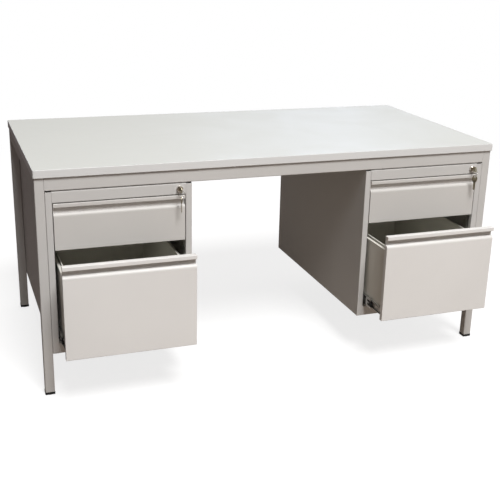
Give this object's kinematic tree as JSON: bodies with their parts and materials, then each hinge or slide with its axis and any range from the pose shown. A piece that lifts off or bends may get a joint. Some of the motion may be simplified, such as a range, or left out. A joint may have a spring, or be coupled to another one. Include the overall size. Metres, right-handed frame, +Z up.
{
  "type": "writing desk",
  "caption": "Steel-framed writing desk with a flat laminate top over hanging pedestals, each with a lockable tray drawer above a deep file drawer on telescopic slides.",
  "frame": {"origin": "on the floor under the middle of the desk's bounding box, with the file drawers standing open as stored", "axes": "+X to the right seen from the sitter's side, +Y from the drawer fronts to the desk's rear, +Z up"},
  "size_m": [1.6, 0.9394, 0.75],
  "materials": {
    "worktop": "pale grey laminate on chipboard, matte",
    "edge_band": "satin edge band",
    "frame_paint": "fine powder coat, satin",
    "pedestal_paint": "fine powder coat, satin",
    "front_paint": "fine powder coat, satin",
    "drawer_paint": "fine powder coat, satin",
    "zinc": "bright zinc plating",
    "nickel": "polished nickel",
    "key_metal": "worn nickel over brass",
    "black_plastic": "moulded, matte"
  },
  "bodies": {
    "desk_frame": {"worktop_board": "worktop", "worktop_edge_band": "edge_band", "leg_front_left": "frame_paint", "leg_front_right": "frame_paint", "leg_rear_left": "frame_paint", "leg_rear_right": "frame_paint", "foot_plugs": "black_plastic", "front_rail": "frame_paint", "rear_rail": "frame_paint", "end_rails": "frame_paint", "corner_plates": "frame_paint", "frame_screws": "zinc", "lock_bar_guides": "black_plastic", "slide_uprights": "zinc", "file_slide_outer": "zinc", "top_slide_outer": "zinc", "left_pedestal_left_side": "pedestal_paint", "left_pedestal_right_side": "pedestal_paint", "left_pedestal_back": "pedestal_paint", "left_pedestal_bottom": "pedestal_paint", "left_lock_rail": "front_paint", "left_lock_barrel": "nickel", "right_pedestal_left_side": "pedestal_paint", "right_pedestal_right_side": "pedestal_paint", "right_pedestal_back": "pedestal_paint", "right_pedestal_bottom": "pedestal_paint", "right_lock_rail": "front_paint", "right_lock_barrel": "nickel"},
    "left_file_drawer": {"left_file_front": "front_paint", "left_file_cradle": "drawer_paint", "left_file_left_wall": "drawer_paint", "left_file_right_wall": "drawer_paint", "left_file_catch": "zinc", "left_file_slide_inner": "zinc"},
    "left_file_slide": {"left_file_slide_middle": "zinc"},
    "left_top_drawer": {"left_top_front": "front_paint", "left_top_tray": "drawer_paint", "left_top_catch": "zinc", "left_top_slide_inner": "zinc"},
    "left_lock_core": {"left_lock_plug": "nickel", "left_key": "key_metal"},
    "left_lock_bolt": {"left_lock_bar": "zinc"},
    "left_hanging_key": {"left_key_ring": "nickel", "left_spare_key": "key_metal"},
    "right_file_drawer": {"right_file_front": "front_paint", "right_file_cradle": "drawer_paint", "right_file_left_wall": "drawer_paint", "right_file_right_wall": "drawer_paint", "right_file_catch": "zinc", "right_file_slide_inner": "zinc"},
    "right_file_slide": {"right_file_slide_middle": "zinc"},
    "right_top_drawer": {"right_top_front": "front_paint", "right_top_tray": "drawer_paint", "right_top_catch": "zinc", "right_top_slide_inner": "zinc"},
    "right_lock_core": {"right_lock_plug": "nickel", "right_key": "key_metal"},
    "right_lock_bolt": {"right_lock_bar": "zinc"},
    "right_hanging_key": {"right_key_ring": "nickel", "right_spare_key": "key_metal"}
  },
  "joints": [
    {"name": "left_file_drawer_slide", "type": "slide", "parent": "desk_frame", "child": "left_file_drawer", "axis": [0, -1, 0], "range_m": [-0.139, 0.461]},
    {"name": "left_file_slide_run", "type": "slide", "parent": "desk_frame", "child": "left_file_slide", "axis": [0, -1, 0], "range_m": [-0.0695, 0.2305]},
    {"name": "left_top_drawer_slide", "type": "slide", "parent": "desk_frame", "child": "left_top_drawer", "axis": [0, -1, 0], "range_m": [0, 0.35]},
    {"name": "left_lock_turn", "type": "hinge", "parent": "desk_frame", "child": "left_lock_core", "pos_m": [-0.3485, -0.33025, 0.6635], "axis": [0, 1, 0], "range_deg": [0, 90]},
    {"name": "left_lock_bar_lift", "type": "slide", "parent": "desk_frame", "child": "left_lock_bolt", "axis": [0, 0, 1], "range_m": [0, 0.01414]},
    {"name": "left_key_swing", "type": "hinge", "parent": "left_lock_core", "child": "left_hanging_key", "pos_m": [-0.3485, -0.34925, 0.6635], "axis": [-1, 0, 0], "range_deg": [0, 100]},
    {"name": "right_file_drawer_slide", "type": "slide", "parent": "desk_frame", "child": "right_file_drawer", "axis": [0, -1, 0], "range_m": [-0.143, 0.457]},
    {"name": "right_file_slide_run", "type": "slide", "parent": "desk_frame", "child": "right_file_slide", "axis": [0, -1, 0], "range_m": [-0.0715, 0.2285]},
    {"name": "right_top_drawer_slide", "type": "slide", "parent": "desk_frame", "child": "right_top_drawer", "axis": [0, -1, 0], "range_m": [0, 0.35]},
    {"name": "right_lock_turn", "type": "hinge", "parent": "desk_frame", "child": "right_lock_core", "pos_m": [0.7255, -0.33025, 0.6635], "axis": [0, 1, 0], "range_deg": [0, 90]},
    {"name": "right_lock_bar_lift", "type": "slide", "parent": "desk_frame", "child": "right_lock_bolt", "axis": [0, 0, 1], "range_m": [0, 0.01414]},
    {"name": "right_key_swing", "type": "hinge", "parent": "right_lock_core", "child": "right_hanging_key", "pos_m": [0.7255, -0.34925, 0.6635], "axis": [-1, 0, 0], "range_deg": [0, 100]}
  ],
  "couplings": [
    {"joint": "left_file_slide_run", "follows": "left_file_drawer_slide", "ratio": 0.5},
    {"joint": "left_lock_turn", "follows": "left_lock_bar_lift", "rad_per_m": 111.07},
    {"joint": "right_file_slide_run", "follows": "right_file_drawer_slide", "ratio": 0.5},
    {"joint": "right_lock_turn", "follows": "right_lock_bar_lift", "rad_per_m": 111.07}
  ]
}
